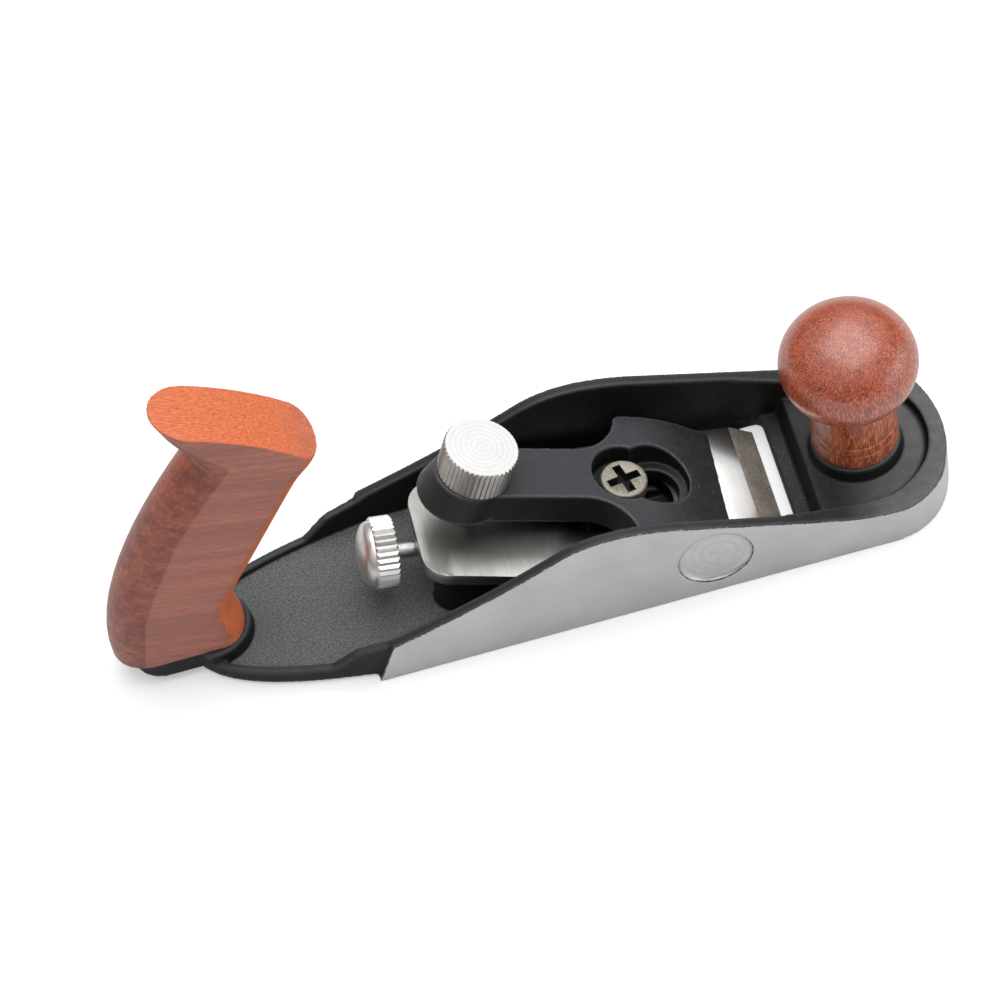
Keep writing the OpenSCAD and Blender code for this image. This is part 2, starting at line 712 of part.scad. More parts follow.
module adjuster_pivot() color([0.8, 0.66, 0.36]) difference() {
    on_bed() translate([-pivot_s, 0, -pivot_l - pivot_sink]) cylinder(d = pivot_d, h = pivot_l);
    on_spindle() translate([0, 0, pivot_s - pivot_d])
        cylinder(d = spindle_d + 2 * run_fit, h = 2 * pivot_d);
}

module blade_carrier() color([0.8, 0.66, 0.36]) difference() {
    union() {
        on_spindle() translate([0, 0, pin_s - carrier_l / 2]) intersection() {
            cylinder(d = carrier_d, h = carrier_l);
            translate([-carrier_d, -carrier_d / 2, 0])
                cube([carrier_d + spindle_drop - 0.15, carrier_d, carrier_l]);
        }
        on_bed() translate([-pin_s, 0, -spindle_drop])
            cylinder(d = min(pin_d, carrier_l), h = spindle_drop - 0.15);
        on_bed() translate([-pin_s, 0, -0.4]) cylinder(d = pin_d, h = pin_hole + 0.2);
    }
    on_spindle() translate([0, 0, pin_s - carrier_l]) cylinder(d = spindle_d + 2 * run_fit, h = 2 * carrier_l);
}

// The knob's half profile: a foot, a hollow neck, then a flattened ball that is an ellipse in section
neck_in = 0.25;
foot_edge = 1;
module knob_profile() {
    foot = foot_d / 2;
    join_a = -acos((foot - neck_in) / (knob_d / 2)) + 2;
    join = [knob_d / 2 * cos(join_a), girth_h + crown_h * sin(join_a)];
    low = boss_h + foot_edge;
    polygon(concat([[0, boss_h], [foot - foot_edge, boss_h]],
        [for (a = [-60:30:0]) [foot - foot_edge + foot_edge * cos(a), low + foot_edge * sin(a)]],
        curve([[foot, low + 1], [foot - neck_in, low + 5], [foot - 2 * neck_in, join[1] - 3],
            join + [-0.6, -0.7]], 8),
        [for (i = [0:24]) let (a = join_a + (90 - join_a) * i / 24)
            [knob_d / 2 * cos(a), girth_h + crown_h * sin(a)]]));
}

module front_knob() color([0.52, 0.2, 0.11]) translate([knob_x, 0, 0]) difference() {
    rotate_extrude($fn = 96) knob_profile();
    translate([0, 0, boss_h - over]) cylinder(d = insert_d + 2 * seat_fit, h = insert_l + over + 0.2);
}

// A brass insert with a blind threaded hole, open at its lower end
module insert() difference() {
    cylinder(d = insert_d, h = insert_l);
    translate([0, 0, -over]) cylinder(d = handle_screw_d + 2 * seat_fit, h = insert_l - 1 + over);
}

// A flat-headed screw standing on its head, from its underside's plane up into an insert
module flat_screw(length) {
    difference() {
        union() {
            translate([0, 0, flat_sink]) cylinder(d1 = flat_head_d, d2 = handle_screw_d, h = flat_head_h);
            cylinder_from = flat_sink + flat_head_h;
            translate([0, 0, cylinder_from]) cylinder(d = handle_screw_d, h = length - cylinder_from);
        }
        translate([0, 0, flat_sink]) mirror([0, 0, 1]) cross_cut(flat_head_d * 0.55, 1.2);
    }
}

module knob_insert() color([0.8, 0.66, 0.36]) translate([knob_x, 0, boss_h]) insert();
module knob_screw() color([0.6, 0.6, 0.6]) translate([knob_x, 0, 0]) flat_screw(boss_h + insert_l - 2);

// The rear handle's back and front lines in X and Z, from the foot to the top
throat = [-horn_x + 5.2, horn_h - 13.5];
back_low = curve([[-tote_back, pad_h], [-tote_back - 0.4, pad_h + 20], throat - [11.6, 13.3], throat], 14);
back_high = curve([throat, throat + [1, 1.8], [-horn_x + 2, horn_h - 6.5], [-horn_x, horn_h]], 6);
bow = [-tote_front + 1.6, pad_h + 16.1];
brow = [-tip_x - 5.2, tip_h - 6.5];
front_low = curve([[-tote_front, pad_h], [-tote_front + 0.6, pad_h + 6], bow - [5.6, 8.1], bow], 7);
front_mid = curve([bow, bow + [5.6, 8.1], brow - [5.6, 8.1], brow], 8);
front_high = curve([brow, brow + [1.9, 2.7], [-tip_x - 0.6, tip_h - 2.2], [-tip_x, tip_h]], 5);
back_line = concat(back_low, [for (i = [1:6]) back_high[i]]);
front_line_points = concat(front_low, [for (i = [1:8]) front_mid[i]], [for (i = [1:5]) front_high[i]]);
rings = len(back_line);

// One side of the handle's ring at one level, as distance from the back edge and half width
round_steps = 7;
flat_steps = 8;
function ring_side(length) = concat(
    [for (i = [0:round_steps]) let (a = 90 * i / round_steps)
        [back_round * (1 - cos(a)), tote_t / 2 * sin(a)]],
    [for (i = [1:flat_steps - 1])
        [back_round + (length - back_round - front_round) * i / flat_steps, tote_t / 2]],
    [for (i = [0:round_steps]) let (a = 90 - 90 * i / round_steps)
        [length - front_round * (1 - cos(a)), tote_t / 2 * sin(a)]]);
side_count = 2 * round_steps + flat_steps + 1;
// The whole ring from a back point to a front point, raised by a crown over the chord between them
function ring(back, front, crown) = let (length = norm(front - back), along = (front - back) / length,
    up = [-along[1], along[0]], side = ring_side(length),
    flat = concat(side, [for (i = [side_count - 2:-1:1]) [side[i][0], -side[i][1]]]))
    [for (p = flat) let (f = p[0] / length, q = back + p[0] * along + 4 * crown * f * (1 - f) * up)
        [q[0], p[1], q[1]]];

module tote_loft() {
    front_of = function(i) let (f = i * (len(front_line_points) - 1) / (rings - 1), k = floor(f))
        k >= len(front_line_points) - 1 ? front_line_points[len(front_line_points) - 1]
            : front_line_points[k] + (f - k) * (front_line_points[k + 1] - front_line_points[k]);
    crown_of = function(i) i < rings - 1 ? 0 : top_crown;
    n = 2 * side_count - 2;
    first = (rings - 1) * n;
    polyhedron([for (i = [0:rings - 1]) each ring(back_line[i], front_of(i), crown_of(i))],
        concat([[for (j = [n - 1:-1:0]) j]],
            [for (i = [0:rings - 2], j = [0:n - 1]) let (a = i * n + j, b = i * n + (j + 1) % n)
                each [[a, b, a + n], [b, b + n, a + n]]],
            [[first, first + 1, first + n - 1]],
            [for (i = [1:side_count - 3]) each [[first + i, first + i + 1, first + n - i],
                [first + i + 1, first + n - i - 1, first + n - i]]],
            [[first + side_count - 2, first + side_count - 1, first + side_count]]));
}

module tote() color([0.5, 0.2, 0.12]) difference() {
    tote_loft();
    for (x = [tote_screw_a, tote_screw_b])
        translate([-x, 0, pad_h - over]) cylinder(d = insert_d + 2 * seat_fit, h = insert_l + over + 0.2);
}

module tote_insert_front() color([0.8, 0.66, 0.36]) translate([-tote_screw_a, 0, pad_h]) insert();
module tote_insert_rear() color([0.8, 0.66, 0.36]) translate([-tote_screw_b, 0, pad_h]) insert();
module tote_screw_front() color([0.6, 0.6, 0.6]) translate([-tote_screw_a, 0, tongue_lift])
    flat_screw(pad_h - tongue_lift + insert_l - 2);
module tote_screw_rear() color([0.6, 0.6, 0.6]) translate([-tote_screw_b, 0, tongue_lift])
    flat_screw(pad_h - tongue_lift + insert_l - 2);

body_casting();
blade();
lever_cap();
cap_wheel();
cap_wheel_screw();
cap_screw();
depth_knob();
adjuster_spindle();
adjuster_pivot();
blade_carrier();
carrier_clip();
front_knob();
knob_insert();
knob_screw();
tote();
tote_insert_front();
tote_insert_rear();
tote_screw_front();
tote_screw_rear();
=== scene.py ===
import math

import bpy
import numpy as np
from mathutils import Matrix, Vector


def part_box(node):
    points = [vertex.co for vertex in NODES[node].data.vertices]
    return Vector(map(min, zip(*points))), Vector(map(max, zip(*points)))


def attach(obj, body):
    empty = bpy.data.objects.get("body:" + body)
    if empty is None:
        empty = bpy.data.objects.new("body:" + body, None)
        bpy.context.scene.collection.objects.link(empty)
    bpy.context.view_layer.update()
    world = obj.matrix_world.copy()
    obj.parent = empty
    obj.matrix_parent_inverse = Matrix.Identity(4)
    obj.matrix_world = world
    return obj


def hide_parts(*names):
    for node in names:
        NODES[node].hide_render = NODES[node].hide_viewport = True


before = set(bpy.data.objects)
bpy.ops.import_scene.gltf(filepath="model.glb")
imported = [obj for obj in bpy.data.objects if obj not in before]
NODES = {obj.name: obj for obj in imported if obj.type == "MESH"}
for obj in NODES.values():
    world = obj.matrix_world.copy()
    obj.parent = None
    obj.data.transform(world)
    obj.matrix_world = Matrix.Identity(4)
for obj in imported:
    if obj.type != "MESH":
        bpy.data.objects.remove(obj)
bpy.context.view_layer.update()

# A small bench plane: black enamelled iron with ground sides, a steel blade, turned steel and red wood.
# Lengths are in millimetres times MM, in the frame of the solids: +X to the toe, +Z up, sole at Z = 0.

MM = 0.001

# Sizes that the finishes and the turned pieces share with the solids
HALF_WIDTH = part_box("body_casting")[1].y
TOE_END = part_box("body_casting")[1].x
HEEL_END = -92.9 * MM
TOE_FRONT_RADIUS = 28 * MM
TOE_CORNER_RADIUS = 15 * MM
BED_ANGLE = math.radians(12)
BED_LENGTH = 74 * MM
EDGE_POINT = Vector((-2.5 * MM, 0, 0.2 * MM))
WHEEL_LEAN = BED_ANGLE + math.radians(9)
RECESS_CENTRE = Vector((-19.4 * MM, 0, 11.3 * MM))
RECESS_RADIUS = 7.8 * MM
DISH_CENTRE_X = 15.1 * MM
DISH_RADIUS = 16.4 * MM
SLOT_HALF = 6.9 * MM
SCREW_BACK = 33.5 * MM
CROSS_REACH = 3.9 * MM
CROSS_DEPTHS = (0.5 * MM, 3 * MM)
KNOB_AXIS_X = 16.5 * MM

# Directions square to the bed and up along it, from the cutting edge
BED_UP = Vector((math.sin(BED_ANGLE), 0, math.cos(BED_ANGLE)))
BED_BACK = Vector((-math.cos(BED_ANGLE), 0, math.sin(BED_ANGLE)))

# The camera, solved from the photograph: its angles, its distance from the mouth, its focal length in pixels,
# and where the mouth lies in the frame
AZIMUTH, ELEVATION, ROLL = (math.radians(a) for a in (-1.379, 53.385, -14.106))
DISTANCE = 0.693345
FOCAL_PIXELS = 3266.384
FRAME_PIXELS = 1000
SENSOR_WIDTH = 36
MOUTH_U, MOUTH_V = 783.495, 487.235


def add_camera():
    back = Vector((math.sin(AZIMUTH) * math.cos(ELEVATION), -math.cos(AZIMUTH) * math.cos(ELEVATION),
                   math.sin(ELEVATION)))
    level = Vector((math.cos(AZIMUTH), math.sin(AZIMUTH), 0))
    upright = back.cross(level)
    right = level * math.cos(ROLL) + upright * math.sin(ROLL)
    up = upright * math.cos(ROLL) - level * math.sin(ROLL)
    across = (MOUTH_U - FRAME_PIXELS / 2) / FOCAL_PIXELS * DISTANCE
    down = (MOUTH_V - FRAME_PIXELS / 2) / FOCAL_PIXELS * DISTANCE
    data = bpy.data.cameras.new("camera")
    data.sensor_width = SENSOR_WIDTH
    data.lens = FOCAL_PIXELS / FRAME_PIXELS * SENSOR_WIDTH
    data.clip_start = 10 * MM
    camera = bpy.data.objects.new("camera", data)
    bpy.context.scene.collection.objects.link(camera)
    turn = Matrix((right, up, back)).transposed()
    camera.matrix_world = Matrix.Translation(back * DISTANCE - right * across + up * down) @ turn.to_4x4()
    bpy.context.scene.camera = camera


# Modelling by hand: the operators work on the one piece that is selected

def pick(piece):
    bpy.ops.object.select_all(action="DESELECT")
    piece.select_set(True)
    bpy.context.view_layer.objects.active = piece


def edit_all(piece):
    pick(piece)
    bpy.ops.object.mode_set(mode="EDIT")
    bpy.ops.mesh.select_all(action="SELECT")


def finish_edit():
    bpy.ops.object.mode_set(mode="OBJECT")


def apply(piece, kind, **settings):
    """Gives the piece a modifier with these settings, and applies it."""
    pick(piece)
    modifier = piece.modifiers.new(kind.lower(), kind)
    for name, value in settings.items():
        setattr(modifier, name, value)
    bpy.ops.object.modifier_apply(modifier=modifier.name)


def copy_solid(node, name):
    """A welded copy of a solid's mesh under a new name."""
    piece = bpy.data.objects.new(name, NODES[node].data.copy())
    bpy.context.scene.collection.objects.link(piece)
    piece.data.materials.clear()
    edit_all(piece)
    bpy.ops.mesh.remove_doubles(threshold=0.001 * MM)
    bpy.ops.mesh.customdata_custom_splitnormals_clear()
    finish_edit()
    return piece


def smooth_under(piece, angle):
    """Shades the piece smooth where its faces meet at less than this angle, in degrees."""
    pick(piece)
    bpy.ops.object.shade_smooth_by_angle(angle=math.radians(angle))


def soften(piece, voxel, rounds, triangles):
    """Rounds every edge and fills every corner, as casting, fettling or sanding does."""
    apply(piece, "REMESH", mode="VOXEL", voxel_size=voxel * MM)
    apply(piece, "SMOOTH", factor=0.5, iterations=rounds)
    now = 2 * len(piece.data.polygons)
    if now > triangles:
        apply(piece, "DECIMATE", ratio=triangles / now)
    pick(piece)
    bpy.ops.object.shade_smooth()


def break_edges(piece, width, sharp=30):
    """Takes the edges sharper than this angle, in degrees, off a machined piece."""
    edit_all(piece)
    bpy.ops.mesh.dissolve_limited(angle_limit=math.radians(0.5))
    finish_edit()
    apply(piece, "BEVEL", width=width * MM, segments=2, limit_method="ANGLE",
          angle_limit=math.radians(sharp), miter_outer="MITER_ARC", use_clamp_overlap=True)
    smooth_under(piece, sharp)


def paint_second(piece, chosen):
    """Gives the piece's second material to the faces that are chosen."""
    for face in piece.data.polygons:
        face.material_index = int(chosen(face))


# Measures taken at a piece's vertices, which its finish reads as attributes

EDGE_BEND = (0.10, 0.50)
CORNER_BEND = (0.06, 0.40)


def corners(piece):
    """Places and normals of the piece's vertices, as two arrays."""
    count = len(piece.data.vertices)
    places, normals = np.zeros(3 * count), np.zeros(3 * count)
    piece.data.vertices.foreach_get("co", places)
    piece.data.vertices.foreach_get("normal", normals)
    return places.reshape(-1, 3), normals.reshape(-1, 3)


def along_bed(places):
    """How far each place lies up the bed from the cutting edge, and how far over the bed."""
    from_edge = places - np.array(EDGE_POINT)
    return from_edge @ np.array(BED_BACK), from_edge @ np.array(BED_UP)


def ramped(values, start, end):
    """0 at start, 1 at end, and a straight line between."""
    return np.clip((values - start) / (end - start), 0, 1)


def within(values, low, high):
    return (values > low) & (values < high)


def bending(piece, rounds=3):
    """How sharply each vertex's surface bends, per millimetre: above 0 on edges and below 0 in corners."""
    at, normal = corners(piece)
    ends = np.zeros(2 * len(piece.data.edges), np.int64)
    piece.data.edges.foreach_get("vertices", ends)
    a, b = ends.reshape(-1, 2).T
    count = len(at)
    neighbours = np.maximum(np.bincount(ends, minlength=count), 1)

    def around(values):
        return (np.bincount(a, values[b], count) + np.bincount(b, values[a], count)) / neighbours

    offset = np.stack([around(at[:, axis]) for axis in range(3)], 1) - at
    square = np.linalg.norm(at[a] - at[b], axis=1) ** 2
    spread = (np.bincount(a, square, count) + np.bincount(b, square, count)) / neighbours
    bend = -2 * MM * (offset * normal).sum(1) / np.maximum(spread, 1e-12)
    for _ in range(rounds):
        bend = 0.5 * (bend + around(bend))
    return bend


def store(piece, name, values):
    layer = piece.data.attributes.new(name, "FLOAT", "POINT")
    layer.data.foreach_set("value", np.asarray(values, np.float32))


def store_bending(piece):
    """Keeps 'edge' for worn edges, painted lighter as a highlight, and 'corner' for inner corners, painted
    dark as shade.
    """
    bend = bending(piece)
    store(piece, "edge", ramped(bend, *EDGE_BEND))
    store(piece, "corner", ramped(-bend, *CORNER_BEND))


# Materials: each reads Object coordinates, in features of a stated size in millimetres

# The wave texture's scale at which its rings lie 1 apart
ONE_RING = 0.314

# Colours of wear, dirt and dust, and of painted highlight and shade
WORN_EDGE_HIGHLIGHT = (0.075, 0.083, 0.094)
CORNER_SHADE = (0.006, 0.006, 0.006)
DEEP_SHADE = (0.005, 0.005, 0.005)
BODY_DUST = (0.34, 0.28, 0.18)
CAP_DUST = (0.36, 0.30, 0.20)
CHIPPED_ENAMEL = (0.52, 0.45, 0.35)
BLADE_STAIN = (0.42, 0.34, 0.22)
SHADE_UNDER_CAP = (0.035, 0.030, 0.024)
GOLDEN_DUST = (0.62, 0.53, 0.38)
WOOD_PORE = (0.075, 0.020, 0.012)
WOOD_SCUFF = (0.50, 0.40, 0.37)


def shade(colour, factor):
    """The colour, lighter or darker by a factor."""
    return tuple(min(1.0, factor * c) for c in colour)


class Finish:
    """A material under construction: one Principled shader and the nodes that feed it."""

    def __init__(self, name, **settings):
        self.material = bpy.data.materials.new(name)
        self.material.use_nodes = True
        self.tree = self.material.node_tree
        self.shader = self.tree.nodes["Principled BSDF"]
        self.where = self.tree.nodes.new("ShaderNodeTexCoord").outputs["Object"]
        for socket, value in settings.items():
            self.set(socket.replace("_", " "), value)

    def set(self, socket, value):
        self.plug(self.shader.inputs[socket], value)

    def plug(self, socket, value):
        if isinstance(value, bpy.types.NodeSocket):
            self.tree.links.new(value, socket)
        elif isinstance(value, tuple) and len(value) == 3 and socket.type == "RGBA":
            socket.default_value = (*value, 1)
        else:
            socket.default_value = value

    def node(self, kind, inputs=(), **settings):
        made = self.tree.nodes.new("ShaderNode" + kind)
        for name, value in settings.items():
            setattr(made, name, value)
        for name, value in dict(inputs).items():
            self.plug(made.inputs[name], value)
        return made

    def grid(self, size, centre=(0, 0, 0), turn=(0, 0, 0)):
        """Coordinates about a centre, turned, in which a feature of the given size in millimetres is 1."""
        sizes = size if isinstance(size, tuple) else (size,) * 3
        return self.node("Mapping", {"Vector": self.where, "Location": tuple(centre), "Rotation": turn,
                                     "Scale": tuple(s * MM for s in sizes)}, vector_type="TEXTURE").outputs[0]

    def noise(self, size, detail=2.0, roughness=0.5, distortion=0.0, **place):
        return self.node("TexNoise", {"Vector": self.grid(size, **place), "Scale": 1.0, "Detail": detail,
                                      "Roughness": roughness, "Distortion": distortion}).outputs[0]

    def rings(self, pitch, centre, turn=(0, 0, 0), direction="Z", wander=0.0):
        return self.node("TexWave", {"Vector": self.grid(pitch, centre=centre, turn=turn),
                                     "Scale": ONE_RING, "Distortion": wander, "Detail": 1.0},
                         wave_type="RINGS", rings_direction=direction).outputs[1]

    def attribute(self, name):
        return self.node("Attribute", attribute_name=name).outputs["Fac"]

    def compute(self, operation, a, b=0.0):
        made = self.node("Math", operation=operation)
        for socket, value in zip(made.inputs, (a, b)):
            self.plug(socket, value)
        return made.outputs[0]

    def times(self, a, b):
        return self.compute("MULTIPLY", a, b)

    def plus(self, a, b):
        return self.compute("ADD", a, b)

    def between(self, value, low, high, to_low=0.0, to_high=1.0, smooth=True):
        """The value's place from low to high, as a number from to_low to to_high."""
        return self.node("MapRange", {"Value": value, "From Min": low, "From Max": high,
                                      "To Min": to_low, "To Max": to_high},
                         interpolation_type="SMOOTHSTEP" if smooth else "LINEAR").outputs[0]

    def strong(self, noise):
        """The noise with more contrast, 0 in its hollows and 1 on its peaks."""
        return self.between(noise, 0.34, 0.66)

    def varied(self, noise, low, high):
        """A number that goes from low to high with the noise."""
        return self.between(noise, 0.3, 0.7, low, high)

    def colours(self, value, *stops):
        """A colour ramp from (place, colour) pairs."""
        made = self.node("ValToRGB", {"Fac": value})
        elements = made.color_ramp.elements
        while len(elements) < len(stops):
            elements.new(0.5)
        for element, (place, colour) in zip(elements, stops):
            element.position = place
            element.color = (*colour, 1)
        return made.outputs[0]

    def blend(self, share, a, b, how="MIX"):
        """From colour a to colour b; the Mix node keeps these in its sockets 6 and 7."""
        made = self.node("Mix", data_type="RGBA", blend_type=how)
        for index, value in ((0, share), (6, a), (7, b)):
            self.plug(made.inputs[index], value)
        return made.outputs[2]

    def tint(self, colour, factors):
        """The colour, its red, green and blue each changed by a factor."""
        return self.blend(1.0, colour, factors, "MULTIPLY")

    def mix(self, share, a, b):
        """From number a to number b; the Mix node keeps these in its sockets 2 and 3."""
        made = self.node("Mix")
        for index, value in ((0, share), (2, a), (3, b)):
            self.plug(made.inputs[index], value)
        return made.outputs[0]

    def bump(self, height, depth):
        """A relief of the given depth in millimetres."""
        return self.node("Bump", {"Height": self.times(height, depth), "Distance": MM,
                                  "Strength": 1.0}).outputs[0]

    def done(self, colour, roughness, height, depth):
        """The material, with the last of what its shader needs."""
        self.set("Base Color", colour)
        self.set("Roughness", roughness)
        self.set("Normal", self.bump(height, depth))
        return self.material


def ground_steel(f):
    """Colour, roughness and lines of steel off the surface grinder, which runs along the plane."""
    lines = f.noise((16, 0.16, 0.16), detail=3, roughness=0.6)
    cloud = f.noise(11, detail=3)
    tone = f.plus(f.times(lines, 0.45), f.times(cloud, 0.55))
    colour = f.colours(tone, (0.34, (0.52, 0.52, 0.535)), (0.5, (0.56, 0.56, 0.575)),
                       (0.66, (0.60, 0.60, 0.61)))
    return colour, f.varied(tone, 0.46, 0.38), lines


def enamel(f, shaded_wall, lit_top, size=1.0):
    """Black enamel: darkest on walls and paler where it faces up, as painted shade and light; lighter on worn
    edges, with a painted highlight; near-black in inner corners, as painted shade.
    """
    fine = f.noise(0.34 * size, detail=2)
    ripple = f.noise(2.4 * size, detail=3)
    mottle = f.strong(f.mix(0.45, fine, ripple))
    # Painted light and shade: a lit copy of the colour where a face looks up, a shaded copy on walls
    dark = f.blend(mottle, shade(shaded_wall, 0.8), shade(shaded_wall, 1.2))
    light = f.blend(mottle, shade(lit_top, 0.8), shade(lit_top, 1.2))
    coat = f.blend(f.attribute("level"), dark, light)
    # Worn edges painted lighter, as wear and a painted highlight
    coat = f.blend(f.times(f.attribute("edge"), 0.55), coat, WORN_EDGE_HIGHLIGHT)
    # Inner corners painted near-black, as painted shade
    coat = f.blend(f.times(f.attribute("corner"), 0.7), coat, CORNER_SHADE)
    rough = f.mix(f.attribute("edge"), f.varied(ripple, 0.44, 0.56), 0.40)
    return coat, rough, fine, ripple


def dust_specks(f, share):
    """Pale grains of dust that lie in patches, where the share is above 0."""
    patches = f.between(f.noise(5, detail=2), 0.44, 0.62)
    grains = f.between(f.noise(0.30, detail=1), 0.685, 0.73)
    return f.times(f.times(grains, patches), share)


def casting_finish():
    """Black enamel over cast iron, ground bright where the attribute 'ground' says, with a ragged edge."""
    f = Finish("enamel_and_ground_iron", Specular_IOR_Level=0.28)
    coat, rough, fine, ripple = enamel(f, (0.0080, 0.0086, 0.0082), (0.024, 0.026, 0.026))
    grit = f.noise(0.42, detail=4, roughness=0.7)
    floor = f.attribute("floor")
    gritty = f.colours(grit, (0.34, (0.062, 0.069, 0.068)), (0.5, (0.130, 0.142, 0.138)),
                       (0.68, (0.215, 0.230, 0.222)))
    coat = f.blend(floor, coat, gritty)
    rim = f.colours(f.mix(0.5, fine, ripple), (0.34, (0.092, 0.097, 0.094)), (0.66, (0.150, 0.157, 0.150)))
    coat = f.blend(f.attribute("rim"), coat, rim)
    # Painted shade: near-black along the step round the toe's dish
    coat = f.blend(f.attribute("groove"), coat, DEEP_SHADE)
    dusty = f.times(f.attribute("dust"), f.mix(f.attribute("level"), 0.35, 0.8))
    coat = f.blend(dust_specks(f, dusty), coat, BODY_DUST)

    # The grinding stops at a ragged line, along which the enamel has chipped
    ragged = f.noise(1.1, detail=4, roughness=0.7)
    worn = f.plus(f.attribute("ground"), f.between(ragged, 0.2, 0.8, -0.45, 0.45, smooth=False))
    bare = f.between(worn, 0.45, 0.55)
    steel, steel_rough, lines = ground_steel(f)
    near_line = f.between(f.compute("ABSOLUTE", f.compute("SUBTRACT", worn, 0.46)), 0.34, 0.10)
    chip = f.times(near_line, f.between(f.noise(7, detail=4, roughness=0.75), 0.45, 0.56))
    chip = f.times(chip, f.between(f.attribute("ground"), 0.01, 0.06))
    colour = f.blend(f.times(chip, 0.75), f.blend(bare, coat, steel), CHIPPED_ENAMEL)
    f.set("Metallic", bare)
    peel = f.mix(floor, f.mix(0.5, fine, ripple), grit)
    relief = f.times(peel, f.mix(floor, 0.06, 0.20))
    return f.done(colour, f.mix(bare, f.mix(floor, rough, 0.62), steel_rough),
                  f.mix(bare, relief, f.times(lines, 0.004)), 1.0)


def turned_recess_finish():
    """The finger recess: iron turned bright with a round-nosed tool."""
    f = Finish("turned_recess", Metallic=1.0)
    off_centre = Vector((0.9 * MM, 0, 0.5 * MM))
    rings = f.rings(1.9, RECESS_CENTRE + off_centre, direction="Y", wander=1.6)
    cloud = f.noise(2.5, detail=4, roughness=0.6)
    colour = f.colours(f.mix(0.82, rings, cloud), (0.2, (0.54, 0.54, 0.55)), (0.5, (0.60, 0.60, 0.61)),
                       (0.8, (0.68, 0.68, 0.685)))
    return f.done(colour, f.varied(cloud, 0.36, 0.46), rings, 0.006)


def cap_finish():
    """The lever cap's smoother black enamel, with painted shade in its keyhole."""
    f = Finish("cap_enamel", Specular_IOR_Level=0.42)
    coat, rough, fine, ripple = enamel(f, (0.0080, 0.0084, 0.0090), (0.034, 0.0365, 0.041), size=0.8)
    # Painted shade in the keyhole
    coat = f.blend(f.attribute("sunk"), coat, DEEP_SHADE)
    coat = f.blend(dust_specks(f, f.attribute("dust")), coat, CAP_DUST)
    return f.done(coat, rough, f.mix(0.5, fine, ripple), 0.05)


def blade_finish():
    """Steel brushed across its width, dulled towards its back end, and painted near-black as shade under the
    lever cap.
    """
    f = Finish("blade_steel", Metallic=1.0)
    bed_turn = (0, BED_ANGLE, 0)
    lines = f.noise((0.10, 5, 0.10), detail=3, roughness=0.7, turn=bed_turn)
    broad = f.noise((0.8, 12, 0.8), detail=2, turn=bed_turn)
    cloud = f.noise(6, detail=3)
    tone = f.plus(f.times(lines, 0.4), f.times(f.mix(0.6, broad, cloud), 0.6))
    dull = f.attribute("dull")
    bright = f.colours(tone, (0.32, (0.80, 0.785, 0.76)), (0.68, (0.97, 0.96, 0.95)))
    brushed = f.colours(tone, (0.32, (0.31, 0.305, 0.288)), (0.5, (0.41, 0.405, 0.385)),
                        (0.68, (0.53, 0.52, 0.495)))
    stain = f.times(f.between(f.noise(1.6, detail=4, roughness=0.65), 0.62, 0.72), 0.22)
    steel = f.blend(stain, f.blend(dull, bright, brushed), BLADE_STAIN)
    # Painted shade: near-black where the lever cap's arm shades the blade
    return f.done(f.blend(f.attribute("shaded_under_cap"), steel, SHADE_UNDER_CAP), f.mix(dull, 0.30, f.varied(tone, 0.48, 0.40)),
                  lines, f.times(dull, 0.012))


def bevel_finish():
    """The blade's bevel: ground coarse, brown with old oil and holding golden dust."""
    f = Finish("blade_bevel", Specular_IOR_Level=0.4, Metallic=0.35)
    grain = f.noise(0.5, detail=4, roughness=0.7)
    cloud = f.noise(4, detail=3)
    base = f.colours(f.mix(0.4, grain, cloud), (0.34, (0.165, 0.147, 0.124)), (0.5, (0.285, 0.257, 0.220)),
                     (0.66, (0.43, 0.39, 0.335)))
    speck = f.between(f.noise(0.36, detail=2), 0.60, 0.68)
    return f.done(f.blend(f.times(speck, 0.8), base, GOLDEN_DUST), f.varied(grain, 0.5, 0.62), grain, 0.06)


def turned_steel_finish(name, centre, turn, colour=(0.86, 0.855, 0.845), rough=0.26):
    """Plated steel off the lathe, with fine rings about its axis and soft clouding."""
    f = Finish(name, Metallic=1.0)
    rings = f.rings(1.1, centre, turn=turn, wander=2.2)
    fine = f.rings(0.22, centre, turn=turn, wander=0.5)
    cloud = f.noise(1.6, detail=4, roughness=0.6)
    tone = f.mix(0.62, f.mix(0.35, rings, fine), cloud)
    plated = f.colours(tone, (0.25, shade(colour, 0.88)), (0.5, colour), (0.8, shade(colour, 1.08)))
    return f.done(plated, f.varied(cloud, rough + 0.07, rough - 0.03), fine, 0.004)


def screw_finish():
    """Phosphated steel, matt and grey."""
    f = Finish("screw_steel", Metallic=0.8)
    cloud = f.noise(0.7, detail=4, roughness=0.7)
    colour = f.colours(cloud, (0.34, (0.22, 0.205, 0.17)), (0.5, (0.32, 0.295, 0.245)),
                       (0.7, (0.45, 0.415, 0.35)))
    return f.done(colour, f.varied(cloud, 0.46, 0.58), cloud, 0.04)


def recess_shade_finish():
    """Near-black at the bottom of a driver recess, as painted shade."""
    f = Finish("recess_shade", Specular_IOR_Level=0.2)
    cloud = f.noise(0.5, detail=3)
    colour = f.colours(cloud, (0.35, (0.004, 0.004, 0.004)), (0.65, (0.014, 0.013, 0.012)))
    return f.done(colour, f.varied(cloud, 0.6, 0.75), cloud, 0.03)


def plain_metal_finish(name, colour):
    """A small drawn or turned metal piece."""
    f = Finish(name, Metallic=1.0)
    cloud = f.noise(1.2, detail=4, roughness=0.6)
    toned = f.colours(cloud, (0.3, shade(colour, 0.75)), (0.7, colour))
    return f.done(toned, f.varied(cloud, 0.38, 0.25), cloud, 0.01)


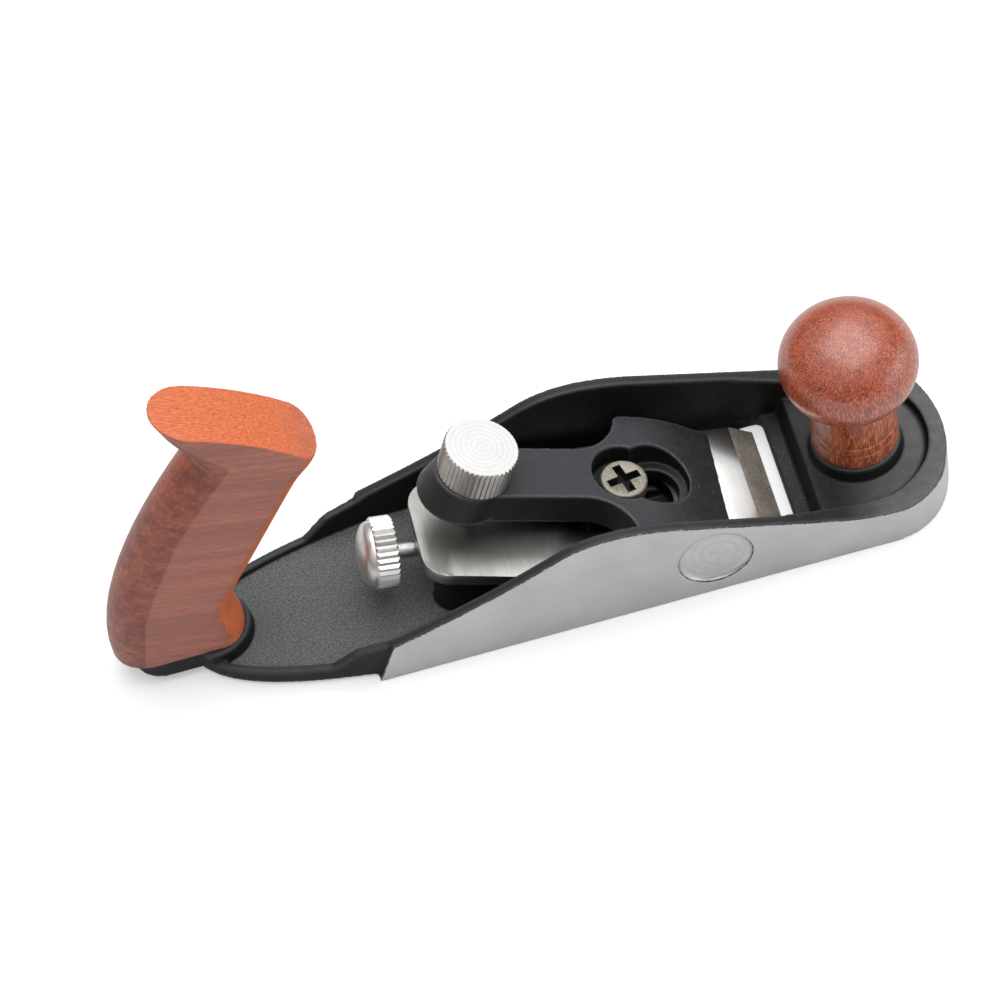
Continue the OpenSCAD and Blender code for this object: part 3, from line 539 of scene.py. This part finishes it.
def red_wood(f, turn, seed, bands_share, streaks_share, calm=0.0):
    """Colour, fibres and pores of red tropical wood with dark bands and streaks."""
    place = {"centre": seed, "turn": turn}
    bands = f.strong(f.noise((55, 2.6, 2.6), detail=3, roughness=0.6, distortion=0.3, **place))
    streaks = f.strong(f.noise((18, 0.9, 0.9), detail=2, roughness=0.6, **place))
    fibres = f.strong(f.noise((2.2, 0.28, 0.28), detail=2, roughness=0.6, **place))
    tone = f.plus(f.times(bands, bands_share), f.times(streaks, streaks_share))
    tone = f.plus(tone, f.times(fibres, 1 - bands_share - streaks_share))
    tone = f.mix(calm, tone, f.between(fibres, 0, 1, 0.50, 0.72, smooth=False))
    body = f.colours(tone, (0.12, (0.125, 0.028, 0.015)), (0.38, (0.245, 0.058, 0.028)),
                     (0.60, (0.340, 0.088, 0.040)), (0.86, (0.480, 0.150, 0.068)))
    pores = f.between(f.noise((4, 0.24, 0.24), detail=1, **place), 0.63, 0.70)
    return f.blend(f.times(pores, 0.55), body, WOOD_PORE), fibres, pores


def oiled(f, colour, fibres, pores):
    """The wood's material, with its fibres raised and its pores sunk."""
    relief = f.compute("SUBTRACT", fibres, pores)
    return f.done(colour, f.between(fibres, 0.0, 1.0, 0.55, 0.45), relief, 0.012)


def knob_finish():
    """The front knob's wood, with its grain upright, under a worn shine; paler and more golden below its
    girth, as a painted reflection of the white floor.
    """
    f = Finish("knob_wood", Specular_IOR_Level=0.12, Coat_Weight=1.0, Coat_Roughness=0.29, Coat_IOR=1.85)
    colour, fibres, pores = red_wood(f, turn=(0, math.pi / 2, 0), seed=(0.071, 0.013, 0.002),
                                     bands_share=0.10, streaks_share=0.20)
    colour = f.tint(colour, (1.34, 0.92, 0.70))
    # Painted reflection: a paler copy of the wood below the girth
    lit_from_floor = f.tint(colour, (1.25, 1.62, 1.62))
    return oiled(f, f.blend(f.attribute("low"), colour, lit_from_floor), fibres, pores)


def tote_finish():
    """The rear handle's wood: darker and purplish on its rounded back, as painted shade; warmer and brighter
    on its front edge and its top, as painted light; paler pink on its sides, as a painted sheen.
    """
    f = Finish("tote_wood", Specular_IOR_Level=0.2, Coat_Weight=0.6, Coat_Roughness=0.40, Coat_IOR=1.5)
    lit_top_front, back = f.attribute("lit_top_front"), f.attribute("back")
    colour, fibres, pores = red_wood(f, turn=(0, math.radians(14), 0), seed=(0.0, 0.004, 0.001),
                                     bands_share=0.44, streaks_share=0.22, calm=lit_top_front)
    # Painted light and shade: a sheened copy for the sides, a shaded copy for the rounded back, a lit copy
    # for the top and front edge
    sheened_colour = f.blend(0.5, colour, (0.50, 0.195, 0.155))
    shaded_colour = f.tint(f.blend(0.3, colour, (0.40, 0.12, 0.075)), (0.90, 0.88, 1.02))
    lit_colour = f.tint(colour, (2.0, 1.75, 1.3))
    colour = f.blend(lit_top_front, f.blend(back, sheened_colour, shaded_colour), lit_colour)
    scuffs = f.between(f.noise(0.55, detail=2, roughness=0.7), 0.66, 0.74)
    patches = f.between(f.noise(9, detail=2), 0.42, 0.60)
    pale = f.times(f.times(scuffs, patches), f.mix(back, 0.12, 0.55))
    return oiled(f, f.blend(pale, colour, WOOD_SCUFF), fibres, pores)


# Pieces

def dress(piece, body, node, slot, *materials):
    """The finished piece rides on its body, stands for its solid and wears these materials."""
    for material in materials:
        piece.data.materials.append(material)
    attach(piece, body)
    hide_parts(node)


def toe_outline(x, y):
    """Distance inside the ground outline, and the direction out of it, for arrays of X and Y."""
    side = np.where(y < 0, -1.0, 1.0)
    away = np.abs(y)
    front = TOE_END - TOE_FRONT_RADIUS
    corner_y = HALF_WIDTH - TOE_CORNER_RADIUS
    corner_x = front + math.sqrt((TOE_FRONT_RADIUS - TOE_CORNER_RADIUS) ** 2 - corner_y ** 2)
    swing = math.asin(corner_y / (TOE_FRONT_RADIUS - TOE_CORNER_RADIUS))
    on_front = np.arctan2(away, x - front) < swing
    centre_x = np.where(on_front, front, corner_x)
    centre_y = np.where(on_front, 0, corner_y)
    radius = np.where(on_front, TOE_FRONT_RADIUS, TOE_CORNER_RADIUS)
    dx, dy = x - centre_x, away - centre_y
    reach = np.maximum(np.hypot(dx, dy), 1e-9)
    straight = x < corner_x
    inside = np.where(straight, HALF_WIDTH - away, radius - reach)
    out_x = np.where(straight, 0, dx / reach)
    out_y = np.where(straight, 1, dy / reach) * side
    return inside, out_x, out_y


# The casting's zones: how squarely a face looks out, up or away from the bed, and the heights and places
# between which each finish lies or fades
FACES_OUT = (0.72, 0.96)
FACES_UP = (0.55, 0.97)
SQUARE_TO_BED = 0.97
GROUND_SKIN = 0.35 * MM
GROUND_FROM = HEEL_END - 0.5 * MM
SOLE_SKIN = 0.3 * MM
BED_SKIN = 0.12 * MM
TAIL_LENGTH = 24 * MM
TAIL_FLOOR_HEIGHTS = (2.6 * MM, 3.4 * MM)
TOE_TOP_FROM = 7 * MM
TOE_RIM_FADE = (9 * MM, 19 * MM)
GROOVE_HEIGHTS = (TOE_TOP_FROM, 9.4 * MM)
GROOVE_FADE = (1.5 * MM, 0.7 * MM)
DUST_BACK_FADE = (-42 * MM, -10 * MM)
DUST_FRONT_FADE = (20 * MM, 4 * MM)
DUST_FROM = 1 * MM
RECESS_DEPTHS = (0.12 * MM, 1.6 * MM)
RECESS_REACH = RECESS_RADIUS + 0.05 * MM
RECESS_FROM = HALF_WIDTH - 2 * MM


def build_casting():
    casting = copy_solid("body_casting", "plane_body")
    soften(casting, voxel=0.38, rounds=7, triangles=190000)
    at, normal = corners(casting)
    x, y, z = at.T
    inside, out_x, out_y = toe_outline(x, y)
    up_bed, over_bed = along_bed(at)

    # Bare iron: the sides and the toe, the sole, and the bed on both sides of its slot
    outward = normal[:, 0] * out_x + normal[:, 1] * out_y
    sides = ramped(outward, *FACES_OUT) * (inside < GROUND_SKIN) * (x > GROUND_FROM)
    sole = ramped(-normal[:, 2], *FACES_OUT) * (z < SOLE_SKIN)
    bed = ((normal @ np.array(BED_UP) > SQUARE_TO_BED) & (np.abs(over_bed) < BED_SKIN)
           & within(up_bed, 0, BED_LENGTH) & (np.abs(y) > SLOT_HALF))
    store(casting, "ground", np.maximum(np.maximum(sides, sole), bed))

    # Enamel: the tail's gritty floor, the toe's paler rim, painted shade along the step of its dish, and dust
    level = ramped(normal[:, 2], *FACES_UP)
    tail_floor = (x < HEEL_END + TAIL_LENGTH) & within(z, *TAIL_FLOOR_HEIGHTS)
    toe_rim = ramped(x, *TOE_RIM_FADE) * (z > TOE_TOP_FROM)
    from_dish = np.abs(np.hypot(x - DISH_CENTRE_X, y) - DISH_RADIUS)
    # Painted shade along the step round the dish
    groove = ramped(from_dish, *GROOVE_FADE) * (x > DISH_CENTRE_X) * within(z, *GROOVE_HEIGHTS)
    store(casting, "level", level)
    store(casting, "floor", level * tail_floor)
    store(casting, "rim", level * toe_rim)
    store(casting, "groove", groove)
    store(casting, "dust", ramped(x, *DUST_BACK_FADE) * ramped(x, *DUST_FRONT_FADE) * (z > DUST_FROM))
    store_bending(casting)

    recess = ((np.hypot(x - RECESS_CENTRE.x, z - RECESS_CENTRE.z) < RECESS_REACH)
              & within(inside, *RECESS_DEPTHS) & (np.abs(y) > RECESS_FROM)).tolist()
    dress(casting, "casting", "body_casting", "enamelled_casting", casting_finish(), turned_recess_finish())
    paint_second(casting, lambda face: all(recess[v] for v in face.vertices))


# The lever cap's zones
CAP_FACES_UP = (0.5, 0.9)
CAP_DUST_FADE = (-34 * MM, -14 * MM)
KEYHOLE_HALF = 8.6 * MM
KEYHOLE_PLACES = (18 * MM, 42 * MM)
KEYHOLE_DEPTHS = (0.8 * MM, 1.6 * MM)
KEYHOLE_SHADE = 0.8


def build_cap():
    cap = copy_solid("lever_cap", "lever_cap_shell")
    soften(cap, voxel=0.24, rounds=12, triangles=150000)
    at, normal = corners(cap)
    up_bed, over_bed = along_bed(at)
    store(cap, "level", ramped(normal[:, 2], *CAP_FACES_UP))
    store(cap, "dust", ramped(at[:, 0], *CAP_DUST_FADE))

    # Painted shade: the keyhole is darkened below the cap's top, which is the highest place of each
    # millimetre of its length
    strip = (up_bed / MM).astype(int) - int(up_bed.min() / MM) + 1
    tops = np.zeros(strip.max() + 1)
    np.maximum.at(tops, strip, over_bed)
    in_keyhole = (np.abs(at[:, 1]) < KEYHOLE_HALF) & within(up_bed, *KEYHOLE_PLACES)
    store(cap, "sunk", ramped(tops[strip] - over_bed, *KEYHOLE_DEPTHS) * in_keyhole * KEYHOLE_SHADE)
    store_bending(cap)
    dress(cap, "cap", "lever_cap", "enamelled_cap", cap_finish())


# The blade's zones, up the bed and to the side, and how far its bevel looks forward and up
BEVEL_REACH = 8 * MM
BEVEL_FORWARD, BEVEL_UPWARD = 0.25, 0.3
DULL_FADE = (14 * MM, 30 * MM)
SHADE_FRONT_FADE = (20 * MM, 22 * MM)
SHADE_BACK_FADE = (50 * MM, 46 * MM)
SHADE_SIDE_FADE = (10.5 * MM, 8.5 * MM)


def build_blade():
    blade = copy_solid("blade", "blade_iron")
    break_edges(blade, width=0.16)
    dress(blade, "iron", "blade", "blade_steel", blade_finish(), bevel_finish())
    paint_second(blade, lambda face: (face.center - EDGE_POINT).dot(BED_BACK) < BEVEL_REACH
                 and face.normal.dot(BED_BACK) < -BEVEL_FORWARD and face.normal.z > BEVEL_UPWARD)
    apply(blade, "TRIANGULATE")
    edit_all(blade)
    bpy.ops.mesh.subdivide(number_cuts=2)
    finish_edit()
    at, _ = corners(blade)
    up_bed, _ = along_bed(at)
    store(blade, "dull", ramped(up_bed, *DULL_FADE))
    # Painted shade on the blade under the lever cap's arm
    under_cap = ramped(up_bed, *SHADE_FRONT_FADE) * ramped(up_bed, *SHADE_BACK_FADE)
    store(blade, "shaded_under_cap", under_cap * ramped(np.abs(at[:, 1]), *SHADE_SIDE_FADE))


def knurled_piece(node, name):
    """A copy of a knurled solid, with its flats and edges kept crisp."""
    piece = copy_solid(node, name)
    smooth_under(piece, angle=20)
    return piece


def middle_of(node):
    low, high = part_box(node)
    return (low + high) / 2


def build_wheel():
    wheel = knurled_piece("cap_wheel", "clamp_wheel")
    centre, turn = middle_of("cap_wheel"), (0, WHEEL_LEAN, 0)
    dress(wheel, "wheel", "cap_wheel", "bright_steel",
          turned_steel_finish("wheel_top_steel", centre, turn, rough=0.30),
          turned_steel_finish("wheel_side_steel_shaded", centre, turn, colour=(0.46, 0.45, 0.425), rough=0.34))

    # The second, darker steel is painted shade on faces that look away from the axis; a sliver has no normal
    # and keeps the first
    axis = Vector((math.sin(WHEEL_LEAN), 0, math.cos(WHEEL_LEAN)))
    paint_second(wheel, lambda face: face.normal.length > 0.5 and abs(face.normal.dot(axis)) < 0.6)


def build_depth_knob():
    knob = knurled_piece("depth_knob", "depth_adjuster")
    centre, turn = middle_of("depth_knob"), (0, BED_ANGLE - math.pi / 2, 0)
    dress(knob, "depth_screw", "depth_knob", "bright_steel",
          turned_steel_finish("depth_knob_steel", centre, turn, colour=(0.74, 0.73, 0.71), rough=0.36))


def build_cap_screw():
    screw = copy_solid("cap_screw", "clamp_screw")
    break_edges(screw, width=0.12)
    dress(screw, "casting", "cap_screw", "screw_steel", screw_finish(), recess_shade_finish())
    axis = EDGE_POINT + BED_BACK * SCREW_BACK
    top = max((v.co - EDGE_POINT).dot(BED_UP) for v in screw.data.vertices)

    def in_cross(face):
        arm = face.center - axis
        from_axis = (arm - BED_UP * arm.dot(BED_UP)).length
        depth = top - (face.center - EDGE_POINT).dot(BED_UP)
        return within(depth, *CROSS_DEPTHS) and from_axis < CROSS_REACH

    # Painted shade: the faces deep in the cross are near-black
    paint_second(screw, in_cross)


def lathe(name, axis_x, outline, segments=128, point=0.001):
    """A turned shape: a ring drawn out through each (radius, height) of the outline, in millimetres."""
    radius, height = outline[0]
    bpy.ops.object.select_all(action="DESELECT")
    bpy.ops.mesh.primitive_circle_add(vertices=segments, radius=radius * MM, fill_type="NGON",
                                      location=(axis_x, 0, height * MM))
    piece = bpy.context.object
    piece.name = name
    bpy.ops.object.transform_apply(location=True)
    edit_all(piece)
    for next_radius, next_height in outline[1:]:
        rise = (next_height - height) * MM
        bpy.ops.mesh.extrude_region_move(TRANSFORM_OT_translate={"value": (0, 0, rise)})
        share = max(next_radius, point) / radius
        bpy.ops.transform.resize(value=(share, share, 1), center_override=(axis_x, 0, next_height * MM))
        radius, height = max(next_radius, point), next_height
    bpy.ops.mesh.merge(type="CENTER")
    bpy.ops.mesh.select_all(action="SELECT")
    bpy.ops.mesh.normals_make_consistent(inside=False)
    finish_edit()
    return piece


def bezier(points, steps):
    """Points along the curve that four control points give."""
    a, b, c, d = (np.array(p, float) for p in points)
    out = []
    for i in range(steps + 1):
        t = i / steps
        out.append(tuple((1 - t) ** 3 * a + 3 * (1 - t) ** 2 * t * b + 3 * (1 - t) * t * t * c + t ** 3 * d))
    return out


def build_front_knob():
    """Turned from its bore outwards: foot, hollow neck with two scored lines, and ball. Millimetres."""
    base, girth = 11.4, 36.5
    bore, bore_depth = 3.53, 10.2
    foot, rounding = 9.2, 0.9
    waist = foot - 0.25
    ball, crown = 14.35, 11.7
    neck_steps, ball_steps = 24, 40
    score_rises, score_half, score_depth = (4.1, 6.6), 0.2, 0.08
    join = -math.acos(waist / ball) + math.radians(2)
    meet_radius, meet_height = ball * math.cos(join), girth + crown * math.sin(join)

    outline = [(bore, base + bore_depth), (bore, base), (foot - rounding, base)]
    outline += [(foot - rounding + rounding * math.cos(a), base + rounding + rounding * math.sin(a))
                for a in (-1.0, -0.5, 0.0)]
    outline += bezier([(foot, base + 2), (waist, base + 6), (foot - 0.5, meet_height - 3),
                       (meet_radius - 0.6, meet_height - 0.7)], neck_steps)
    for height in (base + rise for rise in score_rises):
        outer = [i for i, (radius, _) in enumerate(outline) if radius > bore]
        near = min(outer, key=lambda i: abs(outline[i][1] - height))
        radius = outline[near][0]
        outline[near:near + 1] = [(radius, height - score_half), (radius - score_depth, height),
                                  (radius, height + score_half)]
    outline += [(ball * math.cos(a), girth + crown * math.sin(a))
                for a in (join + (math.pi / 2 - join) * i / ball_steps for i in range(ball_steps + 1))]

    knob = lathe("turned_knob", KNOB_AXIS_X, outline)
    smooth_under(knob, angle=40)
    height = corners(knob)[0][:, 2]
    # Painted reflection: the knob is paler below its girth
    store(knob, "low", ramped(height, (girth - 1) * MM, (girth - 9) * MM))
    dress(knob, "casting", "front_knob", "handle_wood", knob_finish())


# The tote's zones: its rounded back starts at a line, given in millimetres, and ends below the horn
ROUNDED_FROM_X = (-139.2, -136.0, -132.3, -124.0, -116.7, -108.8, -109.0)
ROUNDED_FROM_Z = (8.4, 21.7, 30.0, 45.1, 54.6, 64.2, 67.2)
ROUNDED_FADE = (-0.15 * MM, 0.25 * MM)
HORN_X, HORN_Z, HORN_RISE = -108.8 * MM, 64.2 * MM, -1.35
HORN_FADE = (0.6 * MM, -0.6 * MM)
TOTE_TOP_FROM = 50 * MM
TOTE_FACES_UP = (0.55, 0.75)
TOTE_FACES_FRONT = (0.25, 0.55)
TOTE_FRONT = (0.93, 0, -0.36)


def build_tote():
    tote = copy_solid("tote", "rear_handle")
    soften(tote, voxel=0.3, rounds=4, triangles=150000)
    at, normal = corners(tote)
    x, _, z = at.T
    behind = np.interp(z, [MM * v for v in ROUNDED_FROM_Z], [MM * v for v in ROUNDED_FROM_X]) - x
    under_horn = ramped(z - HORN_Z - HORN_RISE * (x - HORN_X), *HORN_FADE)
    top = ramped(normal[:, 2], *TOTE_FACES_UP) * (z > TOTE_TOP_FROM)
    forward = normal @ np.array(TOTE_FRONT)
    # Painted shade on the rounded back, painted light on the top and the front edge
    store(tote, "back", ramped(behind, *ROUNDED_FADE) * under_horn)
    store(tote, "lit_top_front", np.maximum(top, ramped(forward, *TOTE_FACES_FRONT)))
    dress(tote, "casting", "tote", "handle_wood", tote_finish())


def dress_small_pieces():
    """The solids that stay as they are get a metal: steel, brass or that of the cap's screw."""
    painted = (
        (plain_metal_finish("small_steel", (0.62, 0.62, 0.61)),
         ("adjuster_spindle", "cap_wheel_screw", "carrier_clip")),
        (plain_metal_finish("brass", (0.78, 0.56, 0.24)),
         ("adjuster_pivot", "blade_carrier", "knob_insert", "tote_insert_front", "tote_insert_rear")),
        (screw_finish(),
         ("knob_screw", "tote_screw_front", "tote_screw_rear")),
    )
    for material, nodes in painted:
        for node in nodes:
            for slot in NODES[node].material_slots:
                slot.material = material


# Floor and light, with the lamps' places and sizes in metres and their power in watts

FLOOR_SIZE = 6
FLOOR_DROP = 0.02 * MM
FLOOR_WHITE = (0.80, 0.80, 0.80)
FLOOR_GLOW = 0.34
WHITE = (1, 1, 1, 1)
BELT_LIGHT, BELT_TOP = 0.14, 0.18
CEILING_LIGHT, CEILING_FROM = 0.72, 0.72
LAMP_TARGET = Vector((-0.05, 0, 0.02))
LAMPS = (
    ("overhead", (0.1, 0.12, 1.1), (1.3, 1.2), 9.0),
    ("back_right", (0.55, 0.75, 0.75), (0.9, 0.7), 0.85),
    ("front_right", (1.0, -0.4, 0.2), (1.1, 0.34), 2.2),
)


def scaled(tree, value, from_low, from_high, to_low, to_high):
    """A node that takes the value's place between two numbers to the same place between two others."""
    made = tree.nodes.new("ShaderNodeMapRange")
    for name, number in (("From Min", from_low), ("From Max", from_high),
                         ("To Min", to_low), ("To Max", to_high)):
        made.inputs[name].default_value = number
    tree.links.new(value, made.inputs["Value"])
    return made


def seen_by_camera(tree):
    return tree.nodes.new("ShaderNodeLightPath").outputs["Is Camera Ray"]


def add_floor():
    """A white table that glows a little for the camera alone, so that it shows white and keeps its shadow."""
    bpy.ops.object.select_all(action="DESELECT")
    bpy.ops.mesh.primitive_plane_add(size=FLOOR_SIZE, location=(0, 0, -FLOOR_DROP))
    floor = bpy.context.object
    floor.name = "floor"
    material = bpy.data.materials.new("white_floor")
    material.use_nodes = True
    tree = material.node_tree
    shader = tree.nodes["Principled BSDF"]
    shader.inputs["Base Color"].default_value = (*FLOOR_WHITE, 1)
    shader.inputs["Roughness"].default_value = 0.9
    shader.inputs["Specular IOR Level"].default_value = 0.0
    shader.inputs["Emission Color"].default_value = WHITE
    glow = scaled(tree, seen_by_camera(tree), 0, 1, 0.0, FLOOR_GLOW)
    tree.links.new(glow.outputs[0], shader.inputs["Emission Strength"])
    floor.data.materials.append(material)


def add_world():
    """A bright ceiling over a darker belt round the horizon, and plain white for the camera."""
    world = bpy.data.worlds.new("studio")
    bpy.context.scene.world = world
    world.use_nodes = True
    tree = world.node_tree
    background = tree.nodes["Background"]
    background.inputs["Color"].default_value = WHITE
    height = tree.nodes.new("ShaderNodeSeparateXYZ")
    tree.links.new(tree.nodes.new("ShaderNodeTexCoord").outputs["Generated"], height.inputs[0])
    sky = scaled(tree, height.outputs["Z"], BELT_TOP, CEILING_FROM, BELT_LIGHT, CEILING_LIGHT)
    sky.interpolation_type = "SMOOTHSTEP"
    strength = tree.nodes.new("ShaderNodeMath")
    strength.operation = "MAXIMUM"
    tree.links.new(sky.outputs[0], strength.inputs[0])
    tree.links.new(seen_by_camera(tree), strength.inputs[1])
    tree.links.new(strength.outputs[0], background.inputs["Strength"])


def add_lamps():
    for name, place, size, power in LAMPS:
        data = bpy.data.lights.new(name, "AREA")
        data.shape = "RECTANGLE"
        data.size, data.size_y = size
        data.energy = power
        lamp = bpy.data.objects.new(name, data)
        bpy.context.scene.collection.objects.link(lamp)
        lamp.location = place
        lamp.rotation_euler = (Vector(place) - LAMP_TARGET).to_track_quat("Z", "Y").to_euler()


add_camera()
build_casting()
build_cap()
build_blade()
build_wheel()
build_depth_knob()
build_cap_screw()
build_front_knob()
build_tote()
dress_small_pieces()
add_floor()
add_world()
add_lamps()
bpy.context.scene.view_settings.view_transform = "Standard"
